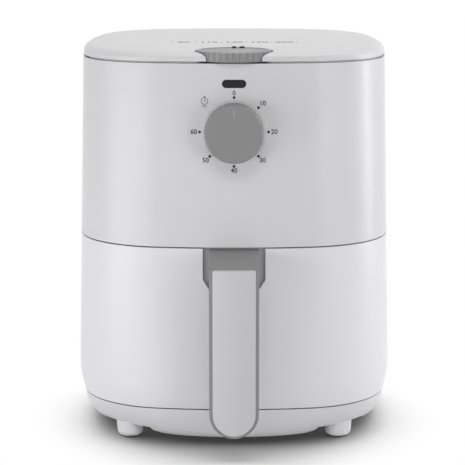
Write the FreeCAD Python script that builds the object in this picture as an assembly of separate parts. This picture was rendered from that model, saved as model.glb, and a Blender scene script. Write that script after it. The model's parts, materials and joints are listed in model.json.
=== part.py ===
"""Drawer air fryer with a timer knob on its front and a temperature wheel in its lid.

Millimetres, +Z up, front towards -Y. Shapes are drawn about the body's own upright axis, standing on
z = 0, and save() moves them so that the origin is the centre of the whole footprint.
"""

import FreeCAD
import Part
import math
import os

Vector = FreeCAD.Vector
UP = Vector(0, 0, 1)
FRONT = Vector(0, -1, 0)
BACK = Vector(0, 1, 0)

# Body: overall sizes, seams and walls
HEIGHT = 307.4
WIDTH_AT_BASE = 254.0
WIDTH_AT_LID = 241.6
BASE_BOTTOM = 5.5
BASE_SEAM = 30.0
DRAWER_SEAM = 157.0
LID_SEAM = 296.4
SEAM_GAP = 1.0
LID_GAP = 1.6
WALL = 2.6
SIDE_RATIO = 3.0
CORNER_RATIO = 0.59
SIDE_SEAM_Y = 10.0
TAPER = (WIDTH_AT_BASE - WIDTH_AT_LID) / 2 / (LID_SEAM - BASE_SEAM)
ROLL_TOP = 50.0
ROLL_IN = 4.0
ROLL_LEVELS = (33.0, 36.5, 40.5, 45.0, ROLL_TOP)

# Lid
LID_HALF = 120.2
LID_WALL = 2.2
LID_ROLL = 10.0
LID_EDGE = 300.4
LID_TOP = 305.8
LID_TILT = 0.85
LID_BOSS_RADIUS = 4.2
FLANGE_BOTTOM = 291.5
FLANGE_TOP = 294.0
FLANGE_INSET = 14.0
LIP_OUTSIDE = 3.3
LIP_INSET = 5.5
LIP_TOP = 299.5

# Temperature wheel and thermostat, on one upright axis
WHEEL_Y = -98.2
WHEEL_RADIUS = 29.0
WHEEL_BOTTOM = 297.7
WHEEL_TOP = 305.2
WHEEL_FLUTES = 36
WELL_RADIUS = 30.0
WELL_WALL = 2.0
WELL_FLOOR_BOTTOM = 294.6
WELL_FLOOR_TOP = 296.6
SPINDLE_RADIUS = 3.0
BRACKET_BOTTOM = 289.4
BRACKET_TOP = 290.6
POST_X = 35.0
POST_Y = -92.0
POST_RADIUS = 3.8

# Timer knob, on one axis square to the front
KNOB_Z = 245.3
KNOB_RADIUS = 22.2
KNOB_BACK = -123.2
KNOB_FRONT = -140.0
KNOB_FLUTES = 44
BEZEL_RADIUS = 23.6
BEZEL_SEAT = -120.6
BEZEL_FRONT = -122.3
PAD_BACK = -117.0

# Pilot light
LENS_Z = 281.4
LENS_WIDTH = 18.0
LENS_HEIGHT = 6.0

# Base, feet and floor
BASE_HALF = WIDTH_AT_BASE / 2 - ROLL_IN
BASE_ROLL = 12.0
BASE_SIDE_RATIO = 1.3
BASE_CORNER_RATIO = 0.9
FOOT_X = 82.0
FOOT_Y = 86.0
BELLY_CORNER = 14.0
BELLY_EDGE = ((0.0, 46.0), (BASE_BOTTOM, 50.0), (7.0, 57.5), (9.0, 63.0), (12.0, 66.0))
PAD_RADIUS = 5.0
FLOOR_PLATE = 2.6

# Drawer, bowl and bay
BOWL_Y = -3.0
BOWL_TOP_HALF = 98.0
BOWL_BOTTOM_HALF = 90.0
BOWL_BOTTOM = 44.0
BOWL_RIM = 153.5
BOWL_WALL = 1.2
BOWL_FLANGE = 6.0
BOWL_ROUND = 14.0
FRAME_BOTTOM = 150.0
FRAME_BACK = -78.0
BAY_HALF = 107.0
BAY_BACK = 103.0
BAY_FRONT = -72.0
BAY_CORNER = 65.0
BAY_WALL = 2.0
DECK_BOTTOM = 160.0
DECK_TOP = 162.5
TRAY_HALF = 86.0
TRAY_BOTTOM = 58.0
TRAY_TOP = 60.0
TRAY_RIM_TOP = 66.0

# Handle
GRIP_HALF = 18.6
GRIP_FRONT = -161.5
GRIP_BACK = -150.0
GRIP_BOTTOM = 18.5
COVER_HALF = 16.1
COVER_TOP = 147.4
COVER_FRONT = -165.6
COVER_BOW = 46.0
NOTCH_HALF = 23.7
NOTCH_NARROW = 18.8
NOTCH_KNEE = 132.6
NOTCH_BOTTOM = 124.8
ARM_BACK = -115.0
BRACKET_DEPTH = 3.0
BRACKET_BACK = -112.0

# Heat chamber, fan and motor, on the body's upright axis
REFLECTOR_HALF = 98.0
REFLECTOR_TOP = 205.0
SHEET = 1.0
CHAMBER_HALF = 96.0
ELEMENT_Z = 175.0
ELEMENT_BEND = 9.0
ELEMENT_START = math.radians(104)
ELEMENT_SWEEP = math.radians(330)
ELEMENT_TUBE = 3.25
ELEMENT_OUTER = 80.0
ELEMENT_INNER = 64.0
SHAFT_RADIUS = 3.0
SHAFT_BOTTOM = 183.0
SHAFT_TOP = 259.0
MOTOR_PLATE_BOTTOM = 224.0
MOTOR_PLATE_TOP = 225.5
CORE_BOTTOM = 231.0
CORE_TOP = 251.0

# Rear: air outlet, cord gland and drawer switch
OUTLET_HALF = 52.0
OUTLET_BOTTOM = 192.0
OUTLET_TOP = 236.0
GLAND_Z = 58.0
GLAND_BORE = 3.6
GLAND_SEAT = 125.8
GLAND_BACK = 128.6
SWITCH_Z = 140.0

# The whole footprint runs from the handle's cover to the cord gland
ORIGIN_SHIFT = Vector(0, -(COVER_FRONT + GLAND_BACK) / 2, 0)


# Drawing helpers

def half_width(z):
    """Half the body's width at height z: the sides lean in towards the lid and roll in at the base."""
    rolled = max(0.0, (ROLL_TOP - z) / (ROLL_TOP - BASE_SEAM))
    return WIDTH_AT_BASE / 2 - TAPER * (z - BASE_SEAM) - ROLL_IN * rolled * rolled


def flat_arc(x, y, z, radius, start, end):
    """Level arc about (x, y) from angle start to angle end."""
    def at(angle):
        return Vector(x + radius * math.cos(angle), y + radius * math.sin(angle), z)
    return Part.Arc(at(start), at((start + end) / 2), at(end)).toShape()


def plan_wire(half, z, inset=0.0, side=SIDE_RATIO, corner=CORNER_RATIO, y=0.0):
    """Rounded square of eight tangent arcs, four bowed sides and four corners, drawn in by inset."""
    side_radius = side * half
    corner_radius = corner * half
    bow = side_radius - half
    reach = side_radius - corner_radius
    centre = (math.sqrt(2 * reach * reach - bow * bow) - bow) / 2
    turn = math.atan2(centre, centre + bow)
    edges = []
    for quarter in range(4):
        way = quarter * math.pi / 2
        cos, sin = round(math.cos(way)), round(math.sin(way))
        edges.append(flat_arc(-bow * cos, y - bow * sin, z, side_radius - inset, way - turn, way + turn))
        corner_x = centre * (cos - sin)
        corner_y = y + centre * (cos + sin)
        end = way + math.pi / 2 - turn
        edges.append(flat_arc(corner_x, corner_y, z, corner_radius - inset, way + turn, end))
    return Part.Wire(edges)


def plan_block(half, z0, z1, y=0.0):
    """Straight-sided rounded square block."""
    return Part.Face(plan_wire(half, z0, y=y)).extrude(Vector(0, 0, z1 - z0))


def body_block(z0, z1, inset=0.0):
    """Solid slice of the tapering body, drawn in by inset."""
    levels = [z0] + [z for z in ROLL_LEVELS if z0 < z < z1] + [z1]
    return Part.makeLoft([plan_wire(half_width(z), z, inset) for z in levels], True, True)


def body_ring(z0, z1, outer_inset, inner_inset):
    """Slice of the tapering body between two insets."""
    return body_block(z0, z1, outer_inset).cut(body_block(z0, z1, inner_inset))


def box(x0, x1, y0, y1, z0, z1):
    return Part.makeBox(x1 - x0, y1 - y0, z1 - z0, Vector(x0, y0, z0))


def post(radius, x, y, z0, z1):
    """Upright cylinder."""
    return Part.makeCylinder(radius, z1 - z0, Vector(x, y, z0), UP)


def rod(radius, x, z, y0, y1):
    """Cylinder that runs from front to back."""
    return Part.makeCylinder(radius, y1 - y0, Vector(x, y0, z), BACK)


def outline(corners, at):
    """Closed wire through corners (u, v, radius), each rounded by its radius; at places (u, v)."""
    count = len(corners)
    flat = [Vector(u, v, 0) for u, v, radius in corners]
    stops = []
    for i, (u, v, radius) in enumerate(corners):
        back = (flat[i - 1] - flat[i]).normalize()
        ahead = (flat[(i + 1) % count] - flat[i]).normalize()
        half_angle = back.getAngle(ahead) / 2
        trim = radius / math.tan(half_angle)
        middle = flat[i] + (back + ahead).normalize() * (radius / math.sin(half_angle) - radius)
        stops.append((flat[i] + back * trim, middle, flat[i] + ahead * trim, radius))
    edges = []
    for i, (start, middle, end, radius) in enumerate(stops):
        if radius:
            edges.append(Part.Arc(*[at(p.x, p.y) for p in (start, middle, end)]).toShape())
        following = stops[(i + 1) % count][0]
        if (following - end).Length > 1e-6:
            edges.append(Part.LineSegment(at(end.x, end.y), at(following.x, following.y)).toShape())
    return Part.Wire(edges)


def turned(corners, origin, axis):
    """Solid turned about axis through origin, from corners (radius, distance along axis, rounding)."""
    profile = Part.Face(outline(corners, lambda r, h: Vector(r, 0, h)))
    solid = profile.revolve(Vector(0, 0, 0), UP, 360)
    solid.Placement = FreeCAD.Placement(origin, FreeCAD.Rotation(UP, axis))
    return solid


def front_prism(corners, y0, y1):
    """Prism from front to back of a face drawn in x and z."""
    return Part.Face(outline(corners, lambda x, z: Vector(x, y0, z))).extrude(Vector(0, y1 - y0, 0))


def side_prism(corners, half):
    """Prism across the body of a face drawn in y and z."""
    face = Part.Face(outline(corners, lambda y, z: Vector(-half, y, z)))
    return face.extrude(Vector(2 * half, 0, 0))


def around(shape, count, centre, axis, first=0.0):
    """Copies of shape turned evenly about an axis."""
    copies = []
    for i in range(count):
        copy = shape.copy()
        copy.rotate(centre, axis, first + i * 360.0 / count)
        copies.append(copy)
    return copies


def at_corners(make, x, y):
    """One shape at each of the four corners (+-x, +-y)."""
    return [make(side * x, end * y) for side in (-1, 1) for end in (-1, 1)]


def screw(origin, axis, head_radius, head_height, shank_radius, shank_length):
    """Pan-head screw whose shank points along axis from origin, under its head."""
    corners = [
        (0, -head_height, 0),
        (head_radius, -head_height, head_height * 0.6),
        (head_radius, 0, 0),
        (shank_radius, 0, 0),
        (shank_radius, shank_length - shank_radius, 0),
        (0, shank_length, 0),
    ]
    return turned(corners, origin, axis)


# Outer casing

def main_housing():
    """Upper sleeve, with a ledge for the deck and a flange and lip for the lid."""
    reach = WIDTH_AT_BASE
    shell = body_ring(DRAWER_SEAM + SEAM_GAP / 2, LID_SEAM, 0, WALL)
    ledge = body_ring(DRAWER_SEAM + SEAM_GAP / 2, DECK_BOTTOM, WALL, 9.5)
    ledge = ledge.cut(bay_block(5.4, BAY_FRONT - 0.4, DRAWER_SEAM, DECK_BOTTOM))
    flange = body_ring(FLANGE_BOTTOM, FLANGE_TOP, WALL, FLANGE_INSET)
    lip = body_ring(FLANGE_TOP, LIP_TOP, LIP_OUTSIDE, LIP_INSET)
    lip = lip.cut(post(WELL_RADIUS + WELL_WALL + 1, 0, WHEEL_Y, FLANGE_TOP, LIP_TOP))
    knob_pad = rod(27.0, 0, KNOB_Z, -119.9, PAD_BACK)
    shell = shell.fuse([ledge, flange, lip, knob_pad])
    cuts = [
        rod(BEZEL_RADIUS + 0.2, 0, KNOB_Z, -reach, BEZEL_SEAT),
        rod(5.0, 0, KNOB_Z, BEZEL_SEAT, PAD_BACK),
        lens_slot(0.15, -reach, -100),
        box(-OUTLET_HALF, OUTLET_HALF, 90, reach, OUTLET_BOTTOM, OUTLET_TOP),
    ]
    cuts += [rod(1.8, x, KNOB_Z, BEZEL_SEAT, PAD_BACK) for x in (-15, 15)]
    cuts += at_corners(lambda x, y: post(1.8, x, y, FLANGE_BOTTOM, FLANGE_TOP), *lid_boss_place())
    cuts += at_corners(lambda x, y: post(1.6, x, y, 157.9, DECK_BOTTOM), *deck_screw_place())
    return shell.cut(cuts).removeSplitter()


def rear_housing():
    """Lower rear half of the casing, under the sleeve, with the seat of the cord gland."""
    reach = WIDTH_AT_BASE
    shell = body_ring(BASE_SEAM, DRAWER_SEAM + SEAM_GAP / 2, 0, WALL)
    cuts = [
        box(-reach, reach, -reach, SIDE_SEAM_Y, 0, DRAWER_SEAM + SEAM_GAP),
        rod(6.7, 0, GLAND_Z, 110, reach),
        rod(9.8, 0, GLAND_Z, GLAND_SEAT, reach),
    ]
    return shell.cut(cuts)


def lens_slot(margin, y0, y1):
    """Round-ended slot for the pilot light, larger all round by margin."""
    half = LENS_WIDTH / 2 + margin
    rise = LENS_HEIGHT / 2 + margin
    bend = rise - 0.01
    corners = [
        (-half, LENS_Z - rise, bend),
        (half, LENS_Z - rise, bend),
        (half, LENS_Z + rise, bend),
        (-half, LENS_Z + rise, bend),
    ]
    return front_prism(corners, y0, y1)


def corner_place(half, inset):
    """Distance from the axis, along x and along y, of a corner's middle drawn in by inset."""
    bow = (SIDE_RATIO - 1) * half
    reach = (SIDE_RATIO - CORNER_RATIO) * half
    centre = (math.sqrt(2 * reach * reach - bow * bow) - bow) / 2
    return centre + (CORNER_RATIO * half - inset) * math.sqrt(0.5)


def lid_boss_place():
    place = corner_place(half_width(FLANGE_TOP), LIP_INSET + LID_BOSS_RADIUS + 0.4)
    return place, place


def deck_screw_place():
    place = corner_place(half_width(DECK_BOTTOM), 6.2)
    return place, place


def lid_pillow(inset, bottom, edge, top):
    """Rounded-square pillow: an upright skirt, then a quarter ellipse to a top that slopes to the front."""
    skirt = Part.Face(plan_wire(LID_HALF, bottom, inset)).extrude(Vector(0, 0, edge - bottom))
    wires = []
    for step in range(7):
        angle = math.radians(15 * step)
        z = edge + (top - edge) * math.sin(angle)
        wire = plan_wire(LID_HALF, z, inset + LID_ROLL * (1 - math.cos(angle)))
        wire.rotate(Vector(0, 0, z), Vector(1, 0, 0), LID_TILT * math.sin(angle))
        wires.append(wire)
    return skirt.fuse(Part.makeLoft(wires, True, False))


def top_cover():
    """Pillow-edged lid with the wheel's round well, which breaks out through its front edge."""
    skirt = LID_SEAM + LID_GAP
    outer = lid_pillow(0, skirt, LID_EDGE, LID_TOP)
    shell = outer.cut(lid_pillow(LID_WALL, skirt - 1, LID_EDGE - LID_WALL / 2, LID_TOP - LID_WALL))
    room = outer.fuse(body_block(WELL_FLOOR_BOTTOM, skirt + 0.1, LIP_INSET + 0.4))
    well = post(WELL_RADIUS + WELL_WALL, 0, WHEEL_Y, WELL_FLOOR_BOTTOM, HEIGHT).common(room)
    stems = at_corners(lambda x, y: post(LID_BOSS_RADIUS, x, y, FLANGE_TOP, HEIGHT), *lid_boss_place())
    stems += [post(POST_RADIUS, x, POST_Y, BRACKET_TOP, HEIGHT) for x in (-POST_X, POST_X)]
    under = lid_pillow(LID_WALL / 2, BRACKET_TOP, LID_EDGE - LID_WALL / 4, LID_TOP - LID_WALL / 2)
    cover = shell.fuse([well] + [stem.common(under) for stem in stems])
    cuts = [
        post(WELL_RADIUS, 0, WHEEL_Y, WELL_FLOOR_TOP, HEIGHT + 1),
        post(SPINDLE_RADIUS + 0.6, 0, WHEEL_Y, WELL_FLOOR_BOTTOM, WELL_FLOOR_TOP),
    ]
    cuts += at_corners(lambda x, y: post(1.6, x, y, FLANGE_TOP, 301.2), *lid_boss_place())
    cuts += [post(1.6, x, POST_Y, BRACKET_TOP, 299.0) for x in (-POST_X, POST_X)]
    return cover.cut(cuts)


def base_dish(inset, bottom):
    """Dish under the body: its sides roll under in a quarter ellipse and its corners grow rounder."""
    wires = []
    for step in range(6):
        angle = math.radians(18 * step)
        depth = math.sin(angle)
        side = SIDE_RATIO + (BASE_SIDE_RATIO - SIDE_RATIO) * depth
        corner = CORNER_RATIO + (BASE_CORNER_RATIO - CORNER_RATIO) * depth
        roll = inset + BASE_ROLL * (1 - math.cos(angle))
        wires.append(plan_wire(BASE_HALF, BASE_SEAM - (BASE_SEAM - bottom) * depth, roll, side, corner))
    return Part.makeLoft(wires, True, False)


def base_foot(x, y):
    """Stub foot, moulded with the base, with a seat for its rubber pad."""
    corners = [
        (0, 2.5, 0),
        (PAD_RADIUS + 0.2, 2.5, 0),
        (PAD_RADIUS + 0.2, 1.0, 0),
        (9.9, 1.0, 4.0),
        (10.9, BELLY_EDGE[-1][0] + 1.5, 0),
        (0, BELLY_EDGE[-1][0] + 1.5, 0),
    ]
    return turned(corners, Vector(x, y, 0), UP)


def foot_recesses(margin):
    """Blocks that cut the dish away round the feet and leave a round-edged belly in the middle."""
    far = WIDTH_AT_BASE

    def one(side, end):
        wires = []
        for z, reach in BELLY_EDGE:
            near = reach - margin
            corners = [(near, near, BELLY_CORNER + margin), (far, near, 0), (far, far, 0), (near, far, 0)]
            wires.append(outline(corners, lambda u, v: Vector(side * u, end * v, z + margin)))
        return Part.makeLoft(wires, True, True)
    return at_corners(one, 1, 1)


def base():
    """Shallow dish shell, cut away round its four feet, with a step for the floor plate."""
    outer = base_dish(0, BASE_BOTTOM).cut(foot_recesses(0))
    inner = base_dish(WALL, BASE_BOTTOM + WALL).cut(foot_recesses(WALL))
    step = plan_wire(BASE_HALF, BASE_SEAM - FLOOR_PLATE, WALL / 2)
    step = Part.Face(step).extrude(Vector(0, 0, FLOOR_PLATE))
    return outer.cut([inner, step]).fuse(at_corners(base_foot, FOOT_X, FOOT_Y)).removeSplitter()


def floor_plate():
    """Deck that closes the base and carries the bay."""
    wire = plan_wire(BASE_HALF, BASE_SEAM - FLOOR_PLATE, WALL / 2 + 0.2)
    return Part.Face(wire).extrude(Vector(0, 0, FLOOR_PLATE))


def foot_pads():
    """Rubber pads by name."""
    pads = {}
    for end, y in (("front", -FOOT_Y), ("rear", FOOT_Y)):
        for side, x in (("left", -FOOT_X), ("right", FOOT_X)):
            corners = [(0, 0, 0), (PAD_RADIUS, 0, 0.5), (PAD_RADIUS, 2.5, 0), (0, 2.5, 0)]
            pads[f"foot_pad_{end}_{side}"] = turned(corners, Vector(x, y, 0), UP)
    return pads


def air_outlet_grille():
    """Rear outlet: a plate in the housing's opening with a flange behind it and sloping louvres."""
    z0, z1 = OUTLET_BOTTOM - 6, OUTLET_TOP + 6
    half = OUTLET_HALF - 0.3
    plate = body_ring(z0, z1, 0, WALL)
    plate = plate.common(box(-half, half, 90, 140, OUTLET_BOTTOM + 0.3, OUTLET_TOP - 0.3))
    flange = body_ring(z0, z1, WALL, WALL + 1.6)
    flange = flange.common(box(-half - 4, half + 4, 90, 140, OUTLET_BOTTOM - 4, OUTLET_TOP + 4))
    slots = []
    for row in range(6):
        slot = box(-half + 5, half - 5, -25, 25, -1.9, 1.9)
        slot.rotate(Vector(0, 0, 0), Vector(1, 0, 0), -28)
        slot.translate(Vector(0, 118, OUTLET_BOTTOM + 6.5 + row * 6.2))
        slots.append(slot)
    return plate.fuse(flange).cut(slots)


def cord_gland():
    """Grommet in the rear wall for the mains lead."""
    corners = [
        (GLAND_BORE, 0, 0),
        (8.6, 0, 0.6),
        (8.6, 2.0, 0),
        (6.5, 2.0, 0),
        (6.5, GLAND_SEAT - 121.4, 0),
        (9.5, GLAND_SEAT - 121.4, 0),
        (9.5, GLAND_BACK - 121.4, 1.2),
        (GLAND_BORE, GLAND_BACK - 121.4, 0),
    ]
    return turned(corners, Vector(0, 121.4, GLAND_Z), BACK)


# Controls

def fluted(solid, groove, count, centre, axis):
    """Solid with evenly spaced grooves cut about an axis."""
    return solid.cut(around(groove, count, centre, axis))


def timer_knob():
    """Hollow fluted knob with a hub for the timer's shaft and a seat for its pointer."""
    depth = KNOB_BACK - KNOB_FRONT
    corners = [
        (SHAFT_RADIUS, 0.6, 0),
        (6.0, 0.6, 0),
        (6.0, depth - 2.6, 1.0),
        (KNOB_RADIUS - 2.4, depth - 2.6, 1.0),
        (KNOB_RADIUS - 2.4, 0, 0),
        (KNOB_RADIUS, 0, 0),
        (KNOB_RADIUS, depth - 3.0, 1.5),
        (KNOB_RADIUS - 1.0, depth, 0.8),
        (0, depth, 0),
        (0, depth - 3.2, 0),
        (SHAFT_RADIUS, depth - 3.2, 0),
    ]
    origin = Vector(0, KNOB_BACK, KNOB_Z)
    knob = turned(corners, origin, FRONT)
    groove = rod(0.85, 0, KNOB_Z + KNOB_RADIUS + 0.25, KNOB_FRONT + 2.2, KNOB_BACK + 1)
    knob = fluted(knob, groove, KNOB_FLUTES, origin, BACK)
    return knob.cut(pointer_seat())


def pointer_seat():
    """Upright line near the top of the knob's face."""
    return box(-0.6, 0.6, KNOB_FRONT - 0.01, KNOB_FRONT + 0.7, KNOB_Z + 13.2, KNOB_Z + 18.8)


def knob_pointer():
    return pointer_seat().common(box(-9, 9, KNOB_FRONT, 0, 0, HEIGHT))


def timer_bezel():
    """Flat ring behind the knob, let into the housing's front."""
    depth = BEZEL_SEAT - BEZEL_FRONT
    corners = [(6.5, 0, 0), (BEZEL_RADIUS, 0, 0), (BEZEL_RADIUS, depth, 0.5), (6.5, depth, 0)]
    ring = turned(corners, Vector(0, BEZEL_SEAT, KNOB_Z), FRONT)
    return ring.cut([rod(3.6, x, KNOB_Z, BEZEL_FRONT - 1, BEZEL_SEAT) for x in (-15, 15)])


def timer_shaft():
    """Shaft with a flat, from the clockwork into the knob's hub."""
    return rod(SHAFT_RADIUS, 0, KNOB_Z, KNOB_FRONT + 3.2, -96.0)


def timer_body():
    """Clockwork timer: a can behind a front plate, with its bell on the back."""
    plate = box(-24, 24, PAD_BACK, PAD_BACK + 1.2, KNOB_Z - 23, KNOB_Z + 23)
    can = front_prism([(-21, KNOB_Z - 21, 4), (21, KNOB_Z - 21, 4), (21, KNOB_Z + 21, 4),
                       (-21, KNOB_Z + 21, 4)], PAD_BACK + 1.2, -88.0)
    bell = turned([(0, 0, 0), (4, 0, 0), (19, 3, 1), (19, 8, 3), (0, 8, 0)], Vector(0, -88, KNOB_Z), BACK)
    cuts = [rod(SHAFT_RADIUS + 0.2, 0, KNOB_Z, PAD_BACK - 1, -95.5)]
    cuts += [rod(1.6, x, KNOB_Z, PAD_BACK - 1, PAD_BACK + 6) for x in (-15, 15)]
    return plate.fuse([can, bell]).cut(cuts)


def timer_screws():
    return [screw(Vector(x, BEZEL_SEAT, KNOB_Z), BACK, 3.3, 1.6, 1.5, 8) for x in (-15, 15)]


def pilot_lens():
    """Smoked lens that fills the slot, set a little back from the front."""
    block = body_ring(LENS_Z - 8, LENS_Z + 8, 0.3, 5.2)
    return block.common(lens_slot(0, -140, -100))


def pilot_lamp():
    """Neon lamp that lies across behind the lens."""
    corners = [(0, 0, 0), (1.9, 0, 1.2), (1.9, 10, 0), (2.3, 10, 0), (2.3, 15, 0.4), (0, 15, 0)]
    return turned(corners, Vector(-7.5, -113.3, LENS_Z), Vector(1, 0, 0))


def temperature_wheel():
    """Fluted thumb wheel with a dished top."""
    depth = WHEEL_TOP - WHEEL_BOTTOM
    corners = [
        (0, 0, 0),
        (WHEEL_RADIUS - 0.6, 0, 0),
        (WHEEL_RADIUS, 0.6, 0),
        (WHEEL_RADIUS, depth - 0.8, 0.4),
        (WHEEL_RADIUS - 1.6, depth, 0.4),
        (WHEEL_RADIUS - 3.4, depth, 0.3),
        (WHEEL_RADIUS - 4.0, depth - 0.7, 0.3),
        (0, depth - 0.7, 0),
    ]
    origin = Vector(0, WHEEL_Y, WHEEL_BOTTOM)
    wheel = turned(corners, origin, UP)
    groove = post(1.35, 0, WHEEL_Y - WHEEL_RADIUS - 0.45, WHEEL_BOTTOM - 1, WHEEL_TOP + 1)
    wheel = fluted(wheel, groove, WHEEL_FLUTES, origin, UP)
    bore = post(SPINDLE_RADIUS, 0, WHEEL_Y, WHEEL_BOTTOM - 1, WHEEL_TOP - 2.2)
    return wheel.cut([bore] + wheel_mark())


def wheel_mark():
    """Raised pip at the wheel's rear rim, which points at the scale on the lid, and a bar beside it."""
    seat = WHEEL_TOP - 1.3
    corners = [(0, 0, 0), (1.6, 0, 0), (1.6, 2.1, 0.7), (0, 2.1, 0)]
    pip = turned(corners, Vector(0, WHEEL_Y + 25.2, seat), UP)
    return [pip, box(4.2, 8.0, WHEEL_Y + 24.0, WHEEL_Y + 25.4, seat, seat + 2.0)]


def thermostat_spindle():
    return post(SPINDLE_RADIUS, 0, WHEEL_Y, 276.0, WHEEL_TOP - 2.2)


def thermostat():
    """Round thermostat under its bracket, with two blade terminals."""
    corners = [(0, 0, 0), (10.5, 0, 2), (10.5, 15.4, 0), (0, 15.4, 0)]
    can = turned(corners, Vector(0, WHEEL_Y, BRACKET_BOTTOM - 15.4), UP)
    blades = [box(x - 2.4, x + 2.4, WHEEL_Y - 0.4, WHEEL_Y + 0.4, 268.0, 275.0) for x in (-5, 5)]
    return can.fuse(blades).cut(post(SPINDLE_RADIUS + 0.2, 0, WHEEL_Y, 275.8, BRACKET_BOTTOM))


def thermostat_bracket():
    """Plate that hangs the thermostat from the lid's two posts."""
    corners = [(-42, -111, 5), (42, -111, 5), (42, -84, 5), (-42, -84, 5)]
    plate = Part.Face(outline(corners, lambda x, y: Vector(x, y, BRACKET_BOTTOM)))
    plate = plate.extrude(Vector(0, 0, BRACKET_TOP - BRACKET_BOTTOM))
    holes = [post(SPINDLE_RADIUS + 0.6, 0, WHEEL_Y, 280, 295)]
    holes += [post(1.8, x, POST_Y, 280, 295) for x in (-POST_X, POST_X)]
    return plate.cut(holes)


def bracket_screws():
    return [screw(Vector(x, POST_Y, BRACKET_BOTTOM), UP, 3.2, 2.2, 1.5, 8) for x in (-POST_X, POST_X)]


def lid_screws():
    def one(x, y):
        return screw(Vector(x, y, FLANGE_BOTTOM), UP, 3.4, 2.4, 1.5, 9)
    return at_corners(one, *lid_boss_place())


# Heat chamber

def chamber_deck():
    """Plate across the housing above the drawer, open over the bowl."""
    plate = body_block(DECK_BOTTOM, DECK_TOP, WALL + 0.4)
    holes = [plan_block(CHAMBER_HALF, DECK_BOTTOM - 1, DECK_TOP + 1, BOWL_Y)]
    holes += at_corners(lambda x, y: post(1.8, x, y, DECK_BOTTOM, DECK_TOP), *deck_screw_place())
    return plate.cut(holes)


def deck_screws():
    def one(x, y):
        return screw(Vector(x, y, DECK_TOP), UP * -1, 3.2, 2.2, 1.5, 4.4)
    return at_corners(one, *deck_screw_place())


def heat_reflector():
    """Pressed dome over the heating element, with a flange on the deck."""
    def dome(inset, z0, z1):
        wires = [plan_wire(REFLECTOR_HALF, z0, inset, y=BOWL_Y), plan_wire(REFLECTOR_HALF - 4, z1, inset)]
        return Part.makeLoft(wires, True, True)
    flange = plan_block(REFLECTOR_HALF + 7, DECK_TOP, DECK_TOP + SHEET, BOWL_Y)
    pan = dome(0, DECK_TOP, REFLECTOR_TOP).fuse(flange)
    cuts = [dome(SHEET, DECK_TOP, REFLECTOR_TOP - SHEET), post(10, 0, 0, 200, 210)]
    cuts += [post(5.0, p.x, p.y, 200, 210) for p in element_lead_places()]
    return pan.cut(cuts)


def element_lead_places():
    """Where the element's two upright leads stand."""
    places = []
    for radius in (ELEMENT_OUTER, ELEMENT_INNER):
        start = Vector(radius * math.cos(ELEMENT_START), radius * math.sin(ELEMENT_START), 0)
        tangent = Vector(-math.sin(ELEMENT_START), math.cos(ELEMENT_START), 0)
        places.append(start - tangent * ELEMENT_BEND)
    return places


def element_lead(radius, place):
    """Edges of one lead: down the upright part and round the bend into its ring."""
    start = Vector(radius * math.cos(ELEMENT_START), radius * math.sin(ELEMENT_START), ELEMENT_Z)
    bend_top = place + UP * (ELEMENT_Z + ELEMENT_BEND)
    centre = start + UP * ELEMENT_BEND
    half_way = ((start - centre) + (bend_top - centre)).normalize() * ELEMENT_BEND
    top = place + UP * 216.0
    line = Part.LineSegment(top, bend_top).toShape()
    return [line, Part.Arc(bend_top, centre + half_way, start).toShape()]


def heating_element():
    """Tubular element: an outer ring, a hairpin and an inner ring, with two upright leads."""
    end = ELEMENT_START + ELEMENT_SWEEP
    third = ELEMENT_SWEEP / 3
    outer_place, inner_place = element_lead_places()
    path = element_lead(ELEMENT_OUTER, outer_place)
    for i in range(3):
        start = ELEMENT_START + i * third
        path.append(flat_arc(0, 0, ELEMENT_Z, ELEMENT_OUTER, start, start + third))
    middle = (ELEMENT_OUTER + ELEMENT_INNER) / 2
    pin = (ELEMENT_OUTER - ELEMENT_INNER) / 2
    path.append(flat_arc(middle * math.cos(end), middle * math.sin(end), ELEMENT_Z, pin, end, end + math.pi))
    for i in range(3):
        start = end - i * third
        path.append(flat_arc(0, 0, ELEMENT_Z, ELEMENT_INNER, start, start - third))
    path += reversed(element_lead(ELEMENT_INNER, inner_place))
    spine = Part.Wire(Part.__sortEdges__(path))
    section = Part.Wire(Part.makeCircle(ELEMENT_TUBE, outer_place + UP * 216.0, UP))
    return spine.makePipeShell([section], True, False)


def element_clips():
    """Three hangers that hold both rings under the reflector."""
    top = ELEMENT_Z + ELEMENT_TUBE
    strap = box(ELEMENT_INNER - 6, ELEMENT_OUTER + 6, -4, 4, top, top + 1.5)
    middle = (ELEMENT_OUTER + ELEMENT_INNER) / 2
    leg = box(middle - 0.75, middle + 0.75, -4, 4, top, REFLECTOR_TOP - SHEET)
    return around(strap.fuse(leg), 3, Vector(0, 0, 0), UP, 30)


# Fan and motor

def bladed_disc(disc_z, blade_z0, blade_z1, radius, root, blades, lean):
    """Fan of upright blades on a thin disc with a bored hub."""
    disc = post(radius, 0, 0, disc_z, disc_z + SHEET)
    hub = post(8, 0, 0, min(disc_z, blade_z0), max(disc_z + SHEET, blade_z1))
    blade = box(root, radius - 0.5, -0.5, 0.5, blade_z0, blade_z1)
    blade.rotate(Vector(root, 0, 0), UP, lean)
    fan = disc.fuse([hub] + around(blade, blades, Vector(0, 0, 0), UP))
    trim = post(radius, 0, 0, SHAFT_BOTTOM, SHAFT_TOP)
    return fan.common(trim).cut(post(SHAFT_RADIUS, 0, 0, SHAFT_BOTTOM, SHAFT_TOP))


def hot_fan():
    return bladed_disc(199.0, 187.0, 199.0, 54.0, 20.0, 10, 24)


def cooling_fan():
    return bladed_disc(208.5, 209.5, 219.5, 54.0, 24.0, 12, -24)


def motor_shaft():
    return post(SHAFT_RADIUS, 0, 0, SHAFT_BOTTOM, SHAFT_TOP)


def motor_rotor():
    rotor = post(14.5, 0, 0, CORE_BOTTOM + 1, CORE_TOP - 1)
    return rotor.cut(motor_shaft())


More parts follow.
